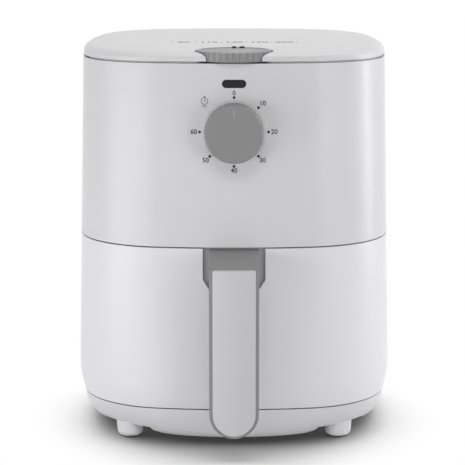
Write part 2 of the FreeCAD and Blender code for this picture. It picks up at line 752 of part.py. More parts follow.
def motor_plate():
    """Plate above the cooling fan that carries the motor."""
    corners = [(-60, -50, 8), (60, -50, 8), (60, 50, 8), (-60, 50, 8)]
    plate = Part.Face(outline(corners, lambda x, y: Vector(x, y, MOTOR_PLATE_BOTTOM)))
    plate = plate.extrude(Vector(0, 0, MOTOR_PLATE_TOP - MOTOR_PLATE_BOTTOM))
    return plate.cut(post(10, 0, 0, MOTOR_PLATE_BOTTOM, MOTOR_PLATE_TOP))


def motor_standoffs():
    return at_corners(lambda x, y: post(4.0, x, y, REFLECTOR_TOP, MOTOR_PLATE_BOTTOM), 52, 42)


def motor_stator():
    """Laminated frame with the rotor's bore and a window for the coil."""
    frame = box(-30, 30, -24, 64, CORE_BOTTOM, CORE_TOP)
    return frame.cut([post(15.0, 0, 0, 220, 260), box(-18, 18, 24, 50, 220, 260)])


def motor_coil():
    """Winding round the frame's yoke."""
    winding = box(-16, 16, 42, 72, 226.2, 255.8)
    return winding.cut(box(-17, 17, 49.8, 64.2, CORE_BOTTOM - 0.2, CORE_TOP + 0.2))


def motor_bracket(strip_bottom, pad_bottom):
    """Bearing bridge: a strip with a pad at each end that meets the frame."""
    strip = box(-30, 30, -11, 11, strip_bottom, strip_bottom + 2.5)
    pads = [box(x, x + 8, -11, 11, pad_bottom, pad_bottom + 3.0) for x in (-30, 22)]
    return strip.fuse(pads).cut(post(6.0, 0, 0, strip_bottom - 1, strip_bottom + 5)).removeSplitter()


def motor_bracket_lower():
    return motor_bracket(MOTOR_PLATE_TOP, CORE_BOTTOM - 3.0)


def motor_bracket_upper():
    return motor_bracket(CORE_TOP + 3.0, CORE_TOP)


def motor_bushes():
    bushes = []
    for z in (MOTOR_PLATE_TOP, CORE_TOP + 3.0):
        bushes.append(post(6.0, 0, 0, z, z + 2.5).cut(post(SHAFT_RADIUS + 0.08, 0, 0, z, z + 2.5)))
    return bushes


def terminal_block():
    """Two-way connector on the motor plate."""
    block = box(36, 58, -44, -30, MOTOR_PLATE_TOP, MOTOR_PLATE_TOP + 13)
    holes = [rod(2.2, x, MOTOR_PLATE_TOP + 5, -46, -28) for x in (42, 52)]
    holes += [post(2.4, x, -37, MOTOR_PLATE_TOP + 8, MOTOR_PLATE_TOP + 14) for x in (42, 52)]
    return block.cut(holes)


# Drawer bay and switch

def bay_block(margin, front, z0, z1):
    """Solid with straight sides and a rounded back, open-ended towards the front."""
    half = BAY_HALF + margin
    back = BAY_BACK + margin
    bend = BAY_CORNER + margin
    corners = [(-half, front, 0), (half, front, 0), (half, back, bend), (-half, back, bend)]
    face = Part.Face(outline(corners, lambda x, y: Vector(x, y, z0)))
    return face.extrude(Vector(0, 0, z1 - z0))


def drawer_bay():
    """U-shaped liner that the bowl slides into, with rails under the bowl's flange."""
    flange_z = DECK_BOTTOM - 1.5
    wall = bay_block(BAY_WALL, BAY_FRONT, BASE_SEAM, DECK_BOTTOM)
    flange = bay_block(5.0, BAY_FRONT, flange_z, DECK_BOTTOM)
    hollow = bay_block(0, BAY_FRONT - 1, BASE_SEAM - 1, DECK_BOTTOM + 1)
    rails = [box(x, x + 6.5, BAY_FRONT, 40, 147.0, BOWL_RIM - 0.3) for x in (-BAY_HALF, BAY_HALF - 6.5)]
    bay = wall.fuse(flange).cut(hollow).fuse(rails)
    return bay.cut(rod(2.7, 0, SWITCH_Z, BAY_BACK - 5, BAY_BACK + 5))


def drawer_switch():
    """Micro switch on the back of the bay."""
    back = BAY_BACK + BAY_WALL
    body = box(-10, 10, back, back + 12, SWITCH_Z - 7, SWITCH_Z + 7)
    blades = [box(x - 0.4, x + 0.4, back + 3, back + 9, SWITCH_Z - 13, SWITCH_Z - 7) for x in (-6, 0, 6)]
    return body.fuse(blades).cut(rod(2.4, 0, SWITCH_Z, back, back + 9))


def switch_plunger():
    """Plunger whose tip stands in the bay, where the closed drawer holds it."""
    length = 11.8
    corners = [(0, 0, 0), (2.1, 0, 1.2), (2.1, length, 0), (0, length, 0)]
    return turned(corners, Vector(0, BAY_BACK - 3.7, SWITCH_Z), BACK)


# Drawer

def drawer_front():
    """Curved front that wraps round both sides, notched at the top for the handle."""
    shell = body_ring(BASE_SEAM + SEAM_GAP, DRAWER_SEAM - SEAM_GAP / 2, 0, WALL)
    reach = WIDTH_AT_BASE
    shell = shell.cut(box(-reach, reach, SIDE_SEAM_Y - SEAM_GAP, reach, 0, HEIGHT))
    return shell.cut(notch(0.1, -reach, -100))


def notch(margin, y0, y1):
    """Six-sided opening at the top of the drawer's front, larger all round by margin."""
    top = DRAWER_SEAM + 5
    corners = [
        (-NOTCH_HALF - margin, top, 0),
        (-NOTCH_HALF - margin, NOTCH_KNEE, 3),
        (-NOTCH_NARROW - margin, NOTCH_BOTTOM - margin, 3),
        (NOTCH_NARROW + margin, NOTCH_BOTTOM - margin, 3),
        (NOTCH_HALF + margin, NOTCH_KNEE, 3),
        (NOTCH_HALF + margin, top, 0),
    ]
    return front_prism(corners, y0, y1)


def handle_bracket():
    """Block that fills the notch, a little behind the front, and carries the handle's arm."""
    skin = body_block(BASE_SEAM, DRAWER_SEAM - SEAM_GAP / 2, BRACKET_DEPTH)
    block = notch(0, -150, BRACKET_BACK).common(skin)
    return block.cut([rod(1.8, x, 143.0, -130, -100) for x in (-10, 10)])


def handle_core():
    """Arm and hanging grip in one piece; the grip ends in a half circle."""
    top = DRAWER_SEAM - 1.4
    profile = [
        (ARM_BACK, top, 0),
        (-124.0, top, 12),
        (GRIP_FRONT, COVER_TOP + 0.3, 0),
        (GRIP_FRONT, 0, 0),
        (GRIP_BACK, 0, 0),
        (GRIP_BACK, 128.5, 15),
        (ARM_BACK, 130.5, 0),
    ]
    side = side_prism(profile, GRIP_HALF)
    bend = GRIP_HALF - 0.01
    face = [
        (-GRIP_HALF, 170, 0),
        (-GRIP_HALF, GRIP_BOTTOM, bend),
        (GRIP_HALF, GRIP_BOTTOM, bend),
        (GRIP_HALF, 170, 0),
    ]
    core = side.common(front_prism(face, -200, -100))
    edges = [e for e in core.Edges if is_grip_back_edge(e)]
    core = core.makeFillet(3.0, edges)
    holes = [rod(1.6, x, 143.0, -130, -110) for x in (-10, 10)]
    return core.cut([handle_bracket()] + holes)


def is_grip_back_edge(edge):
    """True for the edges along the back of the hanging grip."""
    box_of = edge.BoundBox
    return abs(box_of.YMin - GRIP_BACK) < 0.01 and abs(box_of.YMax - GRIP_BACK) < 0.01 and box_of.ZMin < 100


def handle_cover():
    """Front cover of the grip: slightly bowed across, with rounded edges and a round foot."""
    bend = COVER_HALF - 0.01
    bottom = GRIP_BOTTOM + GRIP_HALF - COVER_HALF
    face = [
        (-COVER_HALF, COVER_TOP, 1.6),
        (-COVER_HALF, bottom, bend),
        (COVER_HALF, bottom, bend),
        (COVER_HALF, COVER_TOP, 1.6),
    ]
    slab = front_prism(face, COVER_FRONT - 1, GRIP_FRONT)
    bow = Part.makeCylinder(COVER_BOW, HEIGHT, Vector(0, COVER_FRONT + COVER_BOW, 0), UP)
    cover = slab.common(bow)
    edges = [e for e in cover.Edges if e.BoundBox.YMax < GRIP_FRONT - 0.5]
    return cover.makeFillet(0.9, edges)


def handle_screws():
    return [screw(Vector(x, BRACKET_BACK, 143.0), FRONT, 3.3, 2.2, 1.5, 14) for x in (-10, 10)]


def bowl_block(margin, bottom):
    """Solid of the bowl, larger all round by margin, with a rounded bottom edge."""
    wires = [
        plan_wire(BOWL_BOTTOM_HALF, bottom, -margin, y=BOWL_Y),
        plan_wire(BOWL_TOP_HALF, BOWL_RIM + 1.2, -margin, y=BOWL_Y),
    ]
    solid = Part.makeLoft(wires, True, True)
    edges = [e for e in solid.Edges if e.BoundBox.ZMax < bottom + 0.01]
    return solid.makeFillet(BOWL_ROUND + margin, edges)


def bowl():
    """Pressed bowl with a flat flange round its rim."""
    flange = plan_block(BOWL_TOP_HALF + BOWL_FLANGE, BOWL_RIM, BOWL_RIM + 1.2, BOWL_Y)
    shell = bowl_block(0, BOWL_BOTTOM).fuse(flange)
    return shell.cut(bowl_block(-BOWL_WALL, BOWL_BOTTOM + BOWL_WALL))


def drawer_frame():
    """Crescent behind the drawer's front that the bowl's flange sits on."""
    top = BOWL_RIM
    crescent = body_block(BASE_SEAM + SEAM_GAP, DRAWER_SEAM - SEAM_GAP / 2, WALL)
    crescent = crescent.common(box(-150, 150, -150, FRAME_BACK, FRAME_BOTTOM, top))
    return crescent.cut([bowl_block(0.4, BOWL_BOTTOM), notch(0.1, -150, BRACKET_BACK + 0.1)])


def bowl_striker():
    """Tab on the back of the bowl that works the switch."""
    tab = box(-8, 8, 80, BAY_BACK - 4.0, SWITCH_Z - 6, SWITCH_Z + 6)
    return tab.cut(bowl_block(0, BOWL_BOTTOM))


# Crisper tray

def crisper_tray():
    """Slotted plate with a turned-up rim, standing on four legs in the bowl."""
    pan = plan_block(TRAY_HALF, TRAY_BOTTOM, TRAY_RIM_TOP, BOWL_Y)
    pan = pan.cut(plan_block(TRAY_HALF - 1.5, TRAY_TOP, TRAY_RIM_TOP, BOWL_Y))
    legs = at_corners(lambda x, y: post(4.0, x, BOWL_Y + y, 45.6, TRAY_BOTTOM), 50, 50)
    slots = []
    for reach, count, length in ((20, 8, 12), (40, 14, 14), (60, 22, 14)):
        slot = tray_slot(reach, length)
        slots += around(slot, count, Vector(0, BOWL_Y, 0), UP, 180.0 / count)
    return pan.fuse(legs).cut(slots + [post(5.0, 0, BOWL_Y, TRAY_BOTTOM, TRAY_TOP)])


def tray_slot(reach, length):
    """Round-ended slot that points away from the tray's middle."""
    half = 2.4
    corners = [(reach - length / 2, -half, half - 0.01), (reach + length / 2, -half, half - 0.01),
               (reach + length / 2, half, half - 0.01), (reach - length / 2, half, half - 0.01)]
    face = Part.Face(outline(corners, lambda x, y: Vector(x, BOWL_Y + y, TRAY_BOTTOM - 1)))
    return face.extrude(Vector(0, 0, 4))


def tray_bumpers():
    """Soft blocks in the middle of each side that hold the tray off the bowl."""
    block = box(TRAY_HALF - 3.0, TRAY_HALF + 2.8, BOWL_Y - 7, BOWL_Y + 7, TRAY_TOP + 1, TRAY_RIM_TOP + 1.5)
    tray = plan_block(TRAY_HALF, TRAY_BOTTOM, TRAY_RIM_TOP, BOWL_Y)
    tray = tray.cut(plan_block(TRAY_HALF - 1.5, TRAY_TOP, TRAY_RIM_TOP, BOWL_Y))
    return [b.cut(tray) for b in around(block, 4, Vector(0, BOWL_Y, 0), UP)]


PIECES = [
    main_housing, rear_housing, top_cover, base, floor_plate, air_outlet_grille, cord_gland,
    timer_knob, knob_pointer, timer_bezel, timer_shaft, timer_body, timer_screws,
    pilot_lens, pilot_lamp, temperature_wheel, wheel_mark, thermostat_spindle, thermostat,
    thermostat_bracket, bracket_screws, lid_screws, chamber_deck, deck_screws, heat_reflector,
    heating_element, element_clips, hot_fan, cooling_fan, motor_shaft, motor_rotor, motor_plate,
    motor_standoffs, motor_stator, motor_coil, motor_bracket_lower, motor_bracket_upper, motor_bushes,
    terminal_block, drawer_bay, drawer_switch, switch_plunger, drawer_front, drawer_frame, bowl,
    bowl_striker, handle_bracket, handle_core, handle_cover, handle_screws, crisper_tray, tray_bumpers,
]


def save(name, made):
    """Moves a piece to the part's origin and writes its file."""
    shape = Part.makeCompound(made) if isinstance(made, list) else made
    shape = shape.copy()
    shape.translate(ORIGIN_SHIFT)
    sound = shape.isValid() and all(s.Volume > 0 for s in shape.Solids)
    print(f"{name}: {len(shape.Solids)} solid(s), {shape.Volume / 1000:.2f} cm3, sound {sound}")
    shape.exportStep(f"parts/{name}.step")


def main():
    os.makedirs("parts", exist_ok=True)
    for make in PIECES:
        save(make.__name__, make())
    for name, pad in foot_pads().items():
        save(name, pad)


main()
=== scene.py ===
"""Dressed scene of a drawer air fryer: finishes for the solids, the printed scales, light and camera."""

import json
import math

import bmesh
import bpy
from mathutils import Matrix, Vector
from mathutils.bvhtree import BVHTree


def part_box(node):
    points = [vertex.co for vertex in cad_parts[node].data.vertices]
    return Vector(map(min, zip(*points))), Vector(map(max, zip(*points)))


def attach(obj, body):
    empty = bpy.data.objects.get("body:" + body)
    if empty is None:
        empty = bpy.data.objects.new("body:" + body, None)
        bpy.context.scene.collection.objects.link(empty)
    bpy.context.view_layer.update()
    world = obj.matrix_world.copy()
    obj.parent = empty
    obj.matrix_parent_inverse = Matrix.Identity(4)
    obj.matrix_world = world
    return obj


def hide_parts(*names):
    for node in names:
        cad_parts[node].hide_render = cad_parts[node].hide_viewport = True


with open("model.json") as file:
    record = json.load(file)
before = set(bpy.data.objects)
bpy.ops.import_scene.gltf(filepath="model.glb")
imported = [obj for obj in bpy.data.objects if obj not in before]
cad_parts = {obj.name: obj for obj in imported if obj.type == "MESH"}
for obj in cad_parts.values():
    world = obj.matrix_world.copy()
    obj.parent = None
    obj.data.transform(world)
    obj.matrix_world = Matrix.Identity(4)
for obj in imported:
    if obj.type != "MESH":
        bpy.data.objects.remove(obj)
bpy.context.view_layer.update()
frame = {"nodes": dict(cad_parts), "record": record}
nodes = frame["nodes"]

MM = 0.001
MERGE_DISTANCE = 1e-6

# Places read from the solids

deck_low, deck_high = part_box("chamber_deck")
AXIS_Y = (deck_low.y + deck_high.y) / 2
knob_low, knob_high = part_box("timer_knob")
KNOB_Z = (knob_low.z + knob_high.z) / 2

# Printed timer scale on the front, about the knob's axis
DOT_CIRCLE = 25.9 * MM
DOT_RADIUS = 1.1 * MM
FIGURE_ACROSS = 30.3 * MM
FIGURE_RISE = 29.2 * MM
FIGURE_HEIGHT = 3.6 * MM
MINUTES = ("0", "10", "20", "30", "40", "50", "60")
STEP_ANGLE = math.radians(45)
CLOCK_X = -22.2 * MM
CLOCK_RISE = 23.3 * MM
CLOCK_RADIUS = 2.5 * MM
CROWN_GAP = 0.3 * MM
CROWN_TOP = 1.1 * MM
CROWN_WIDTH = 1.4 * MM
LONG_HAND = 1.7 * MM
SHORT_HAND = 1.1 * MM
UNIT_HEIGHT = 1.5 * MM
UNIT_DROP = 4.0 * MM

# Ink, and how much the strokes of figures are thickened, as a share of their height
PRINT_THICK = 0.08 * MM
PRINT_LIFT = 0.6 * PRINT_THICK
BOLD = 0.03
HEAVY = 0.045
CAPITAL_SHARE = 0.72

# Printed temperature scale on the lid
ROW_Y = AXIS_Y - 24.0 * MM
CELL = 20.0 * MM
DIVIDER_LENGTH = 9.0 * MM
LINE_WIDTH = 0.5 * MM
HEAT_HEIGHT = 7.0 * MM
HEATS = ("80", "110", "140", "170", "200")


# Materials

def new_material(name):
    """Empty node material with its shader and Object coordinates."""
    material = bpy.data.materials.new(name)
    material.use_nodes = True
    tree = material.node_tree
    shader = tree.nodes["Principled BSDF"]
    where = tree.nodes.new("ShaderNodeTexCoord")
    return material, tree, shader, where.outputs["Object"]


def noise(tree, where, scale, detail=3.0):
    node = tree.nodes.new("ShaderNodeTexNoise")
    node.inputs["Scale"].default_value = scale
    node.inputs["Detail"].default_value = detail
    tree.links.new(where, node.inputs["Vector"])
    return node.outputs["Fac"]


def between(tree, factor, low, high):
    """Number that runs from low to high as factor runs from 0.3 to 0.7."""
    node = tree.nodes.new("ShaderNodeMapRange")
    node.inputs["From Min"].default_value = 0.3
    node.inputs["From Max"].default_value = 0.7
    node.inputs["To Min"].default_value = low
    node.inputs["To Max"].default_value = high
    tree.links.new(factor, node.inputs["Value"])
    return node.outputs["Result"]


def tint(tree, factor, low, high):
    """Colour that runs from low to high with factor."""
    node = tree.nodes.new("ShaderNodeValToRGB")
    node.color_ramp.elements[0].position = 0.3
    node.color_ramp.elements[1].position = 0.7
    node.color_ramp.elements[0].color = (*low, 1)
    node.color_ramp.elements[1].color = (*high, 1)
    tree.links.new(factor, node.inputs["Fac"])
    return node.outputs["Color"]


def bump(tree, shader, height, strength, distance):
    node = tree.nodes.new("ShaderNodeBump")
    node.inputs["Strength"].default_value = strength
    node.inputs["Distance"].default_value = distance
    tree.links.new(height, node.inputs["Height"])
    tree.links.new(node.outputs["Normal"], shader.inputs["Normal"])


def grey(value):
    return (value, value * 0.995, value * 1.01)


def moulding(name, light, roughness, grain=2600.0, grain_depth=0.00002):
    """Moulded plastic: cloudy colour, uneven gloss and a fine spark-eroded grain."""
    material, tree, shader, where = new_material(name)
    cloud = noise(tree, where, 14.0)
    tree.links.new(tint(tree, cloud, grey(light * 0.985), grey(light)), shader.inputs["Base Color"])
    patch = noise(tree, where, 60.0)
    tree.links.new(between(tree, patch, roughness - 0.04, roughness + 0.04), shader.inputs["Roughness"])
    bump(tree, shader, noise(tree, where, grain, 2.0), 0.25, grain_depth)
    return material


def coating(name, light):
    """Sprayed non-stick coating with pale specks and a slight orange peel."""
    material, tree, shader, where = new_material(name)
    speck = noise(tree, where, 1400.0, 1.0)
    tree.links.new(tint(tree, speck, grey(light), grey(light * 1.9)), shader.inputs["Base Color"])
    patch = noise(tree, where, 40.0)
    tree.links.new(between(tree, patch, 0.36, 0.46), shader.inputs["Roughness"])
    bump(tree, shader, noise(tree, where, 700.0), 0.3, 0.00004)
    return material


def metal(name, colour, roughness, stretch=(1.0, 1.0, 1.0)):
    """Bare metal with drawn streaks: stretch sets the way they run."""
    material, tree, shader, where = new_material(name)
    turn = tree.nodes.new("ShaderNodeMapping")
    turn.inputs["Scale"].default_value = stretch
    tree.links.new(where, turn.inputs["Vector"])
    streak = noise(tree, turn.outputs["Vector"], 900.0, 2.0)
    darker = tuple(c * 0.9 for c in colour)
    tree.links.new(tint(tree, streak, darker, colour), shader.inputs["Base Color"])
    tree.links.new(between(tree, streak, roughness - 0.06, roughness + 0.06), shader.inputs["Roughness"])
    bump(tree, shader, streak, 0.15, 0.00002)
    shader.inputs["Metallic"].default_value = 1.0
    return material


def banded(name, low, high, pitch, direction, metallic, roughness):
    """Stacked sheets or side-by-side wires, pitch apart, along X, Y or Z."""
    material, tree, shader, where = new_material(name)
    wave = tree.nodes.new("ShaderNodeTexWave")
    wave.bands_direction = direction
    wave.inputs["Scale"].default_value = math.pi / (10 * pitch)
    wave.inputs["Distortion"].default_value = 0.3
    tree.links.new(where, wave.inputs["Vector"])
    tree.links.new(tint(tree, wave.outputs["Fac"], low, high), shader.inputs["Base Color"])
    bump(tree, shader, wave.outputs["Fac"], 0.6, pitch * 0.3)
    shader.inputs["Metallic"].default_value = metallic
    shader.inputs["Roughness"].default_value = roughness
    return material


def smoked_lens():
    """Dark polished cover of the pilot light, a touch uneven."""
    material, tree, shader, where = new_material("smoked_lens")
    cloud = noise(tree, where, 120.0)
    colour = tint(tree, cloud, (0.007, 0.007, 0.008), (0.011, 0.011, 0.012))
    tree.links.new(colour, shader.inputs["Base Color"])
    tree.links.new(between(tree, cloud, 0.10, 0.16), shader.inputs["Roughness"])
    shader.inputs["Specular IOR Level"].default_value = 0.3
    return material


def lamp_glass():
    material, tree, shader, where = new_material("lamp_glass")
    cloud = noise(tree, where, 200.0)
    tree.links.new(tint(tree, cloud, (0.7, 0.3, 0.12), (0.85, 0.45, 0.2)), shader.inputs["Base Color"])
    shader.inputs["Transmission Weight"].default_value = 0.6
    shader.inputs["Roughness"].default_value = 0.1
    return material


def ink(name, light):
    """Pad-printed ink, thinner in places."""
    material, tree, shader, where = new_material(name)
    thin = noise(tree, where, 900.0, 2.0)
    tree.links.new(tint(tree, thin, grey(light), grey(light * 1.25)), shader.inputs["Base Color"])
    shader.inputs["Roughness"].default_value = 0.55
    return material


# Finishes by material slot, or by piece where one is given its own: the drawer front a lighter white than
# the casing, and the handle's bracket a lighter grey than the handle, painted light that lifts the shade
# of its recess
FINISHES = {
    "casing": moulding("casing_white", 0.78, 0.36),
    # Drawer front: the casing's white set lighter, 0.88 against 0.78
    "drawer_front": moulding("drawer_white", 0.88, 0.36),
    "lid": moulding("lid_white", 0.78, 0.40),
    "base": moulding("base_white", 0.82, 0.40),
    "bezel": moulding("bezel_white", 0.76, 0.36),
    "knob": moulding("knob_grey", 0.28, 0.48, grain=3200.0),
    "wheel": moulding("wheel_grey", 0.31, 0.48, grain=3200.0),
    "pointer_light": ink("pointer_white", 0.32),
    "pointer_dark": ink("pointer_black", 0.03),
    "lens": smoked_lens(),
    "handle_grey": moulding("handle_grey", 0.30, 0.46, grain=3000.0),
    # Handle's bracket: the handle's grey made lighter, painted light that lifts the shade of its recess
    "handle_bracket": moulding("bracket_grey_painted_light", 0.42, 0.46, grain=3000.0),
    "handle_cover": moulding("handle_cover_white", 0.67, 0.34, grain_depth=0.00001),
    "inner_plastic": moulding("black_moulding", 0.035, 0.5, grain=1800.0, grain_depth=0.00004),
    "rubber": moulding("black_rubber", 0.03, 0.7, grain=1500.0, grain_depth=0.00006),
    "silicone": moulding("grey_silicone", 0.10, 0.62, grain=1500.0),
    "nonstick": coating("nonstick_coating", 0.035),
    "steel": metal("plated_steel", (0.52, 0.52, 0.53), 0.34),
    "screws": metal("plated_screw", (0.48, 0.48, 0.49), 0.36),
    "laminations": banded("laminations", (0.09, 0.095, 0.105), (0.2, 0.205, 0.22), 0.0006, "Z", 0.8, 0.5),
    "winding": banded("enamelled_wire", (0.38, 0.13, 0.04), (0.62, 0.28, 0.1), 0.0008, "X", 0.9, 0.35),
    "bronze": metal("sintered_bronze", (0.55, 0.37, 0.17), 0.45),
    "aluminium": metal("pressed_aluminium", (0.72, 0.72, 0.73), 0.32, stretch=(1, 1, 0.05)),
    "element": metal("heat_darkened_tube", (0.16, 0.145, 0.13), 0.42),
    "lamp": lamp_glass(),
    "switch_white": moulding("ivory_moulding", 0.62, 0.45),
}

SHARP_ANGLE = math.radians(32)


def smooth_skin(node, material, body):
    """Copy of a solid with its triangles joined and its curves shaded smooth, shown in its place."""
    shape = bmesh.new()
    shape.from_mesh(nodes[node].data)
    bmesh.ops.remove_doubles(shape, verts=shape.verts, dist=MERGE_DISTANCE)
    for face in shape.faces:
        face.smooth = True
        face.material_index = 0
    for edge in shape.edges:
        edge.smooth = edge.calc_face_angle(0) < SHARP_ANGLE
    mesh = bpy.data.meshes.new(node + "_skin")
    shape.to_mesh(mesh)
    shape.free()
    mesh.materials.append(material)
    piece = bpy.data.objects.new(node + "_skin", mesh)
    bpy.context.scene.collection.objects.link(piece)
    even = piece.modifiers.new("even_shading", "WEIGHTED_NORMAL")
    even.keep_sharp = True
    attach(piece, body)
    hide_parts(node)


def dress_solids():
    """Every solid gets its slot's finish, or its own where it has one."""
    slots = {part["node"]: part["material_slot"] for part in frame["record"]["subparts"]}
    for body, members in frame["record"]["behaviour"]["bodies"].items():
        for node in members:
            finish = FINISHES.get(node, FINISHES[slots[node]])
            smooth_skin(node, finish, body)


dress_solids()

PRINT_GREY = ink("print_grey", 0.10)
PRINT_DARK = ink("print_dark", 0.04)
PRINT_BLACK = ink("print_black", 0.02)


# Printed marks

def finished(name, shape, material, body):
    """Object at the origin from a bmesh, riding on a body."""
    mesh = bpy.data.meshes.new(name)
    shape.to_mesh(mesh)
    shape.free()
    mesh.materials.append(material)
    piece = bpy.data.objects.new(name, mesh)
    bpy.context.scene.collection.objects.link(piece)
    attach(piece, body)
    return piece


def disc(radius, x, y, segments=20):
    """Flat disc about (x, y)."""
    shape = bmesh.new()
    place = Matrix.Translation((x, y, 0))
    bmesh.ops.create_circle(shape, cap_ends=True, segments=segments, radius=radius, matrix=place)
    return shape


def bar(x0, y0, x1, y1, width):
    """Flat bar from one point to another."""
    shape = bmesh.new()
    run = Vector((x1 - x0, y1 - y0, 0))
    place = Matrix.Translation(((x0 + x1) / 2, (y0 + y1) / 2, 0))
    turn = Matrix.Rotation(math.atan2(run.y, run.x), 4, "Z")
    size = Matrix.Diagonal((run.length / 2, width / 2, 1, 1))
    bmesh.ops.create_grid(shape, x_segments=2, y_segments=1, size=1, matrix=place @ turn @ size)
    return shape


def ring(radius, width, x, y, segments=28):
    """Flat ring about (x, y)."""
    shape = bmesh.new()
    inner = shape.verts.new((x + radius - width / 2, y, 0))
    outer = shape.verts.new((x + radius + width / 2, y, 0))
    edge = shape.edges.new((inner, outer))
    bmesh.ops.spin(shape, geom=[inner, outer, edge], cent=(x, y, 0), axis=(0, 0, 1),
                   angle=2 * math.pi, steps=segments, use_merge=True)
    return shape


def lettering(text, height, x, y, swell=0.0):
    """Flat figures centred on (x, y), their strokes thickened by a share of the height."""
    curve = bpy.data.curves.new("figures", "FONT")
    curve.body = text
    curve.size = height / CAPITAL_SHARE
    curve.align_x = "CENTER"
    curve.align_y = "CENTER"
    curve.resolution_u = 3
    curve.offset = height * swell
    holder = bpy.data.objects.new("figures", curve)
    bpy.context.scene.collection.objects.link(holder)
    bpy.context.view_layer.update()
    mesh = holder.evaluated_get(bpy.context.evaluated_depsgraph_get()).to_mesh()
    shape = bmesh.new()
    shape.from_mesh(mesh)
    bpy.data.objects.remove(holder)
    bpy.data.curves.remove(curve)
    bmesh.ops.transform(shape, matrix=Matrix.Translation((x, y, 0)), verts=shape.verts)
    return shape


def merged(shapes):
    """One bmesh that holds them all."""
    whole = bmesh.new()
    for shape in shapes:
        mesh = bpy.data.meshes.new("mark")
        shape.to_mesh(mesh)
        shape.free()
        whole.from_mesh(mesh)
        bpy.data.meshes.remove(mesh)
    return whole


def lay_on(shape, node, towards, place):
    """Drops flat marks onto a solid along towards, and gives the ink its thickness."""
    bmesh.ops.remove_doubles(shape, verts=shape.verts, dist=MERGE_DISTANCE)
    carrier = bmesh.new()
    carrier.from_mesh(nodes[node].data)
    surface = BVHTree.FromBMesh(carrier)
    carrier.free()
    for vert in shape.verts:
        where = surface.ray_cast(place(vert.co), towards)[0]
        vert.co = where - towards * PRINT_LIFT
    bmesh.ops.recalc_face_normals(shape, faces=shape.faces)
    facing = sum((f.normal * f.calc_area() for f in shape.faces), Vector())
    if facing.dot(towards) > 0:
        bmesh.ops.reverse_faces(shape, faces=shape.faces)
    bmesh.ops.solidify(shape, geom=shape.faces[:], thickness=PRINT_THICK)
    return shape


def on_front(shape):
    """Marks drawn in x and z about the knob's axis, laid on the casing's front."""
    return lay_on(shape, "main_housing", Vector((0, 1, 0)), lambda p: Vector((p.x, -1.0, KNOB_Z + p.y)))


def on_lid(shape):
    """Marks drawn in x and y, laid on the lid."""
    return lay_on(shape, "top_cover", Vector((0, 0, -1)), lambda p: Vector((p.x, p.y, 1.0)))


def timer_scale():
    """Dots and minutes clockwise round the knob."""
    dots = []
    figures = []
    for i, minutes in enumerate(MINUTES):
        angle = i * STEP_ANGLE
        way = Vector((math.sin(angle), math.cos(angle)))
        dots.append(disc(DOT_RADIUS, *(way * DOT_CIRCLE)))
        upright = abs(way.x) < 0.1
        place = way * (FIGURE_RISE if upright else FIGURE_ACROSS)
        figures.append(lettering(minutes, FIGURE_HEIGHT, *place, BOLD))
    finished("timer_dots", on_front(merged(dots)), PRINT_BLACK, "housing")
    finished("timer_figures", on_front(merged(figures)), PRINT_DARK, "housing")


def stopwatch_sign():
    """Stopwatch beside the scale: face, crown and two hands, over the unit."""
    top = CLOCK_RISE + CLOCK_RADIUS
    marks = [
        ring(CLOCK_RADIUS, LINE_WIDTH, CLOCK_X, CLOCK_RISE),
        bar(CLOCK_X, top + CROWN_GAP, CLOCK_X, top + CROWN_TOP, CROWN_WIDTH),
        bar(CLOCK_X, CLOCK_RISE, CLOCK_X, CLOCK_RISE + LONG_HAND, LINE_WIDTH),
        bar(CLOCK_X, CLOCK_RISE, CLOCK_X + SHORT_HAND, CLOCK_RISE, LINE_WIDTH),
        lettering("MIN", UNIT_HEIGHT, CLOCK_X, CLOCK_RISE - UNIT_DROP),
    ]
    finished("stopwatch_sign", on_front(merged(marks)), PRINT_GREY, "housing")


def lid_scale():
    """Row of cells on the lid with a heat in each."""
    marks = []
    for i in range(len(HEATS) + 1):
        x = (i - len(HEATS) / 2) * CELL
        marks.append(bar(x, ROW_Y - DIVIDER_LENGTH / 2, x, ROW_Y + DIVIDER_LENGTH / 2, LINE_WIDTH))
    for i, heat in enumerate(HEATS):
        x = (i - (len(HEATS) - 1) / 2) * CELL
        marks.append(lettering(heat, HEAT_HEIGHT, x, ROW_Y, HEAVY))
    finished("lid_scale", on_lid(merged(marks)), PRINT_GREY, "housing")


timer_scale()
stopwatch_sign()
lid_scale()


# Stage, light and camera

CAMERA_BACK = 1.518
CAMERA_HEIGHT = 0.415
CAMERA_TILT = math.radians(80)
SENSOR = 36.0
IMAGE = 465
FOCAL_PIXELS = 1872.0
CENTRE_SHIFT = -0.0034
WORLD_LIGHT = 0.03
# Name, place from the body's axis, height that it aims at, width and height, watts
LAMPS = (
    ("front_softbox", (-0.5, -1.3, 1.3), 0.16, (1.4, 1.0), 3.3),
    ("high_softbox", (0.0, -1.6, 1.6), 0.16, (1.4, 0.6), 5.8),
    ("overhead_softbox", (0.0, 0.45, 1.7), 0.16, (1.2, 1.2), 11.4),
    ("low_left_softbox", (-0.75, -0.85, 0.18), 0.06, (0.6, 0.2), 1.7),
    ("low_right_softbox", (0.75, -0.85, 0.18), 0.06, (0.6, 0.2), 1.1),
    ("left_side_softbox", (-1.0, -0.35, 0.30), 0.16, (0.5, 0.4), 1.2),
    ("low_side_softbox", (-0.62, -0.30, 0.10), 0.06, (0.3, 0.18), 0.48),
    ("right_strip", (0.717, -1.024, 0.45), 0.16, (0.3, 1.3), 2.3),
    ("right_rear_strip", (1.231, 0.217, 0.45), 0.16, (0.3, 1.3), 8.1),
)
FLOOR_RADIUS = 1.2
SHADOW_REACH = 0.15
SHADOW_LEAN = 0.5
# Share of the room that a point of the floor sees, and how light the floor is there
SHADOW_STOPS = (
    (0.04, 0.01), (0.09, 0.07), (0.22, 0.15), (0.33, 0.31), (0.44, 0.53), (0.58, 0.85), (0.68, 1.0),
)


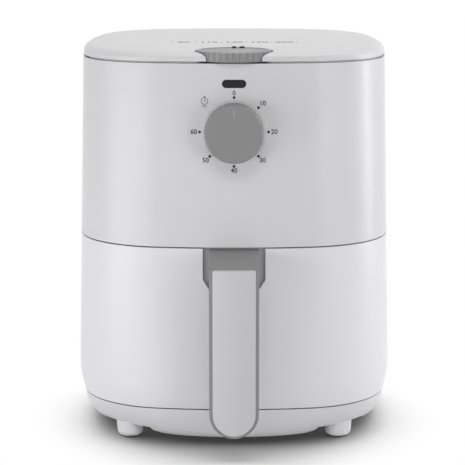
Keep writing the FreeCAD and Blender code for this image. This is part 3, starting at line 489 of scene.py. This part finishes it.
def add_camera():
    data = bpy.data.cameras.new("camera")
    data.sensor_width = SENSOR
    data.lens = FOCAL_PIXELS / IMAGE * SENSOR
    data.shift_x = CENTRE_SHIFT
    camera = bpy.data.objects.new("camera", data)
    camera.location = (0, AXIS_Y - CAMERA_BACK, CAMERA_HEIGHT)
    camera.rotation_euler = (CAMERA_TILT, 0, 0)
    bpy.context.scene.collection.objects.link(camera)
    bpy.context.scene.camera = camera


def add_softbox(name, place, aim, width, height, watts):
    """Rectangular lamp that points at a place."""
    data = bpy.data.lights.new(name, "AREA")
    data.shape = "RECTANGLE"
    data.size = width
    data.size_y = height
    data.energy = watts
    lamp = bpy.data.objects.new(name, data)
    lamp.location = place
    lamp.rotation_euler = (Vector(aim) - Vector(place)).to_track_quat("-Z", "Y").to_euler()
    bpy.context.scene.collection.objects.link(lamp)


def seen_directly(tree):
    """1 for a ray that the camera, a reflection or clear glass sends to the backdrop."""
    path = tree.nodes.new("ShaderNodeLightPath")
    total = path.outputs["Is Camera Ray"]
    for name in ("Is Glossy Ray", "Is Transmission Ray"):
        add = tree.nodes.new("ShaderNodeMath")
        add.operation = "ADD"
        add.use_clamp = True
        tree.links.new(total, add.inputs[0])
        tree.links.new(path.outputs[name], add.inputs[1])
        total = add.outputs["Value"]
    return total


def add_world():
    """White where it is seen, plain soft light elsewhere."""
    world = bpy.data.worlds.new("studio")
    world.use_nodes = True
    tree = world.node_tree
    light = tree.nodes["Background"]
    light.inputs["Strength"].default_value = WORLD_LIGHT
    light.inputs["Color"].default_value = (1, 1, 1, 1)
    white = tree.nodes.new("ShaderNodeBackground")
    white.inputs["Color"].default_value = (1, 1, 1, 1)
    mix = tree.nodes.new("ShaderNodeMixShader")
    tree.links.new(seen_directly(tree), mix.inputs["Fac"])
    tree.links.new(light.outputs[0], mix.inputs[1])
    tree.links.new(white.outputs[0], mix.inputs[2])
    tree.links.new(mix.outputs[0], tree.nodes["World Output"].inputs["Surface"])
    bpy.context.scene.world = world


def shadow_tint(tree, light):
    """Floor colour from the share of the room's light that reaches it."""
    node = tree.nodes.new("ShaderNodeValToRGB")
    ramp = node.color_ramp
    ramp.elements[0].position = SHADOW_STOPS[0][0]
    ramp.elements[1].position = SHADOW_STOPS[-1][0]
    for place, _ in SHADOW_STOPS[1:-1]:
        ramp.elements.new(place)
    for element, (_, value) in zip(ramp.elements, SHADOW_STOPS):
        element.color = (value, value, value, 1)
    tree.links.new(light, node.inputs["Fac"])
    return node.outputs["Color"]


def add_floor():
    """White floor that darkens where the object shuts out the light of the room."""
    shape = bmesh.new()
    bmesh.ops.create_circle(shape, cap_ends=True, segments=64, radius=FLOOR_RADIUS)
    mesh = bpy.data.meshes.new("floor")
    shape.to_mesh(mesh)
    shape.free()
    material, tree, shader, where = new_material("floor_white")
    shader.inputs["Roughness"].default_value = 0.9
    mottle = noise(tree, where, 3.0)
    tree.links.new(tint(tree, mottle, grey(0.80), grey(0.82)), shader.inputs["Base Color"])
    shut = tree.nodes.new("ShaderNodeAmbientOcclusion")
    shut.inputs["Distance"].default_value = SHADOW_REACH
    shut.samples = 16
    lean = tree.nodes.new("ShaderNodeCombineXYZ")
    lean.inputs["Y"].default_value = SHADOW_LEAN
    lean.inputs["Z"].default_value = 1.0
    tree.links.new(lean.outputs["Vector"], shut.inputs["Normal"])
    glow = tree.nodes.new("ShaderNodeEmission")
    tree.links.new(shadow_tint(tree, shut.outputs["AO"]), glow.inputs["Color"])
    mix = tree.nodes.new("ShaderNodeMixShader")
    tree.links.new(seen_directly(tree), mix.inputs["Fac"])
    tree.links.new(shader.outputs[0], mix.inputs[1])
    tree.links.new(glow.outputs[0], mix.inputs[2])
    tree.links.new(mix.outputs[0], tree.nodes["Material Output"].inputs["Surface"])
    mesh.materials.append(material)
    floor = bpy.data.objects.new("floor", mesh)
    bpy.context.scene.collection.objects.link(floor)


add_camera()
add_world()
add_floor()
for name, (x, y, z), aim_height, size, watts in LAMPS:
    add_softbox(name, (x, AXIS_Y + y, z), (0, AXIS_Y, aim_height), *size, watts)

bpy.context.scene.view_settings.view_transform = "Standard"
